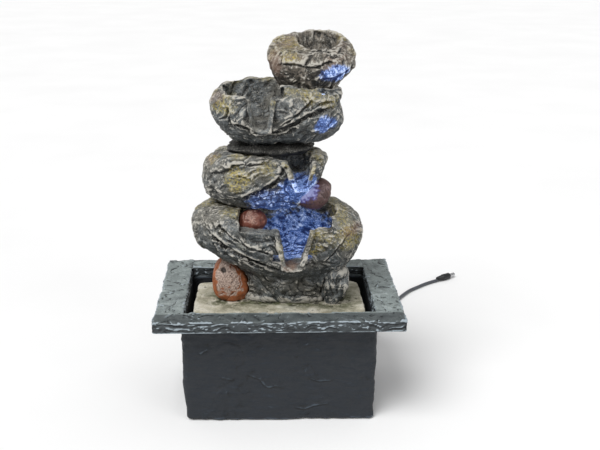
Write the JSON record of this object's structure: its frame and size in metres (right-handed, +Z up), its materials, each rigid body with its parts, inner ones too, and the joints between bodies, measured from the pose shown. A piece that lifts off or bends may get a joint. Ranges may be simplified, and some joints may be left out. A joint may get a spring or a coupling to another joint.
{
  "type": "tabletop water fountain",
  "caption": "Tabletop fountain: slate-look basin with a wide rim, a stack of spouted rock bowls on a plinth, pebbles, blue lamps, pump and low-voltage lead.",
  "frame": {"origin": "on the table, under the middle of the basin, between its four feet", "axes": "+X to the viewer's right along the rim's long side, +Y to the rear where the cord leaves, +Z up"},
  "size_m": [0.3853, 0.4556, 0.3879],
  "materials": {
    "dark_slate": "cast slate texture, matt, near black with pale scuffs",
    "grey_slate": "riven slate, matt, grey-green with pale edges",
    "sandstone": "fine sandy beige, mossy towards the stones",
    "grey_rock": "craggy grey-black rock, dry-brushed cream and lichen yellow",
    "brown_rock": "craggy brown-grey rock, dry-brushed cream",
    "orange_stone": "orange-brown pebble with a mottled grey-pink face",
    "red_stone": "red-brown worn pebble",
    "plum_stone": "plum-brown worn pebble",
    "black_plastic": "moulded black, fine texture",
    "grey_plastic": "moulded grey, satin",
    "black_rubber": "matt black rubber",
    "hose_pvc": "milky clear soft PVC",
    "lamp_lens": "clear blue-lit lens",
    "cord_pvc": "dark grey PVC sheath, soft sheen",
    "ferrite": "dark sintered magnet",
    "ceramic": "polished white ceramic",
    "nickel": "nickel-plated, bright"
  },
  "bodies": {
    "basin": {"tub": "dark_slate", "rim_frame": "grey_slate", "foot_front_left": "black_rubber", "foot_rear_left": "black_rubber", "foot_front_right": "black_rubber", "foot_rear_right": "black_rubber", "cord_gland": "black_rubber", "suction_cup_1": "black_rubber", "suction_cup_2": "black_rubber", "suction_cup_3": "black_rubber", "suction_cup_4": "black_rubber", "pump_housing": "black_plastic", "rotor_shaft": "ceramic", "impeller_cover": "grey_plastic", "lamp_socket": "black_plastic", "pump_lead": "cord_pvc", "cord_drop": "cord_pvc", "cord_coil": "cord_pvc", "cord_tail": "cord_pvc", "cord_tie": "black_plastic", "cord_connector": "black_plastic", "connector_barrel": "nickel"},
    "cascade": {"plinth": "sandstone", "lowest_bowl": "grey_rock", "third_bowl": "grey_rock", "flat_stone": "grey_rock", "second_bowl": "grey_rock", "top_bowl": "brown_rock", "heel_stone": "grey_rock", "orange_pebble": "orange_stone", "red_pebble": "red_stone", "plum_pebble": "plum_stone", "riser_hose": "hose_pvc", "lamp_upper": "black_plastic", "lamp_middle": "black_plastic", "lamp_lower": "black_plastic", "lamp_lens_upper": "lamp_lens", "lamp_lens_middle": "lamp_lens", "lamp_lens_lower": "lamp_lens", "lamp_lead_upper": "cord_pvc", "lamp_lead_middle": "cord_pvc", "lamp_lead_lower": "cord_pvc", "lamp_plug": "black_plastic"},
    "rotor": {"rotor_magnet": "ferrite", "impeller": "grey_plastic"},
    "strainer": {"strainer_cover": "black_plastic"},
    "regulator": {"flow_regulator": "grey_plastic"}
  },
  "joints": [
    {"name": "cascade_lift", "type": "slide", "parent": "basin", "child": "cascade", "axis": [0, 0, 1], "range_m": [0, 0.125]},
    {"name": "rotor_spin", "type": "hinge", "parent": "basin", "child": "rotor", "pos_m": [0.02, 0.016, 0.0296], "axis": [1, 0, 0], "continuous": true},
    {"name": "strainer_pull", "type": "slide", "parent": "basin", "child": "strainer", "axis": [1, 0, 0], "range_m": [0, 0.014]},
    {"name": "regulator_slide", "type": "slide", "parent": "strainer", "child": "regulator", "axis": [0, 0, 1], "range_m": [0, 0.007]}
  ]
}
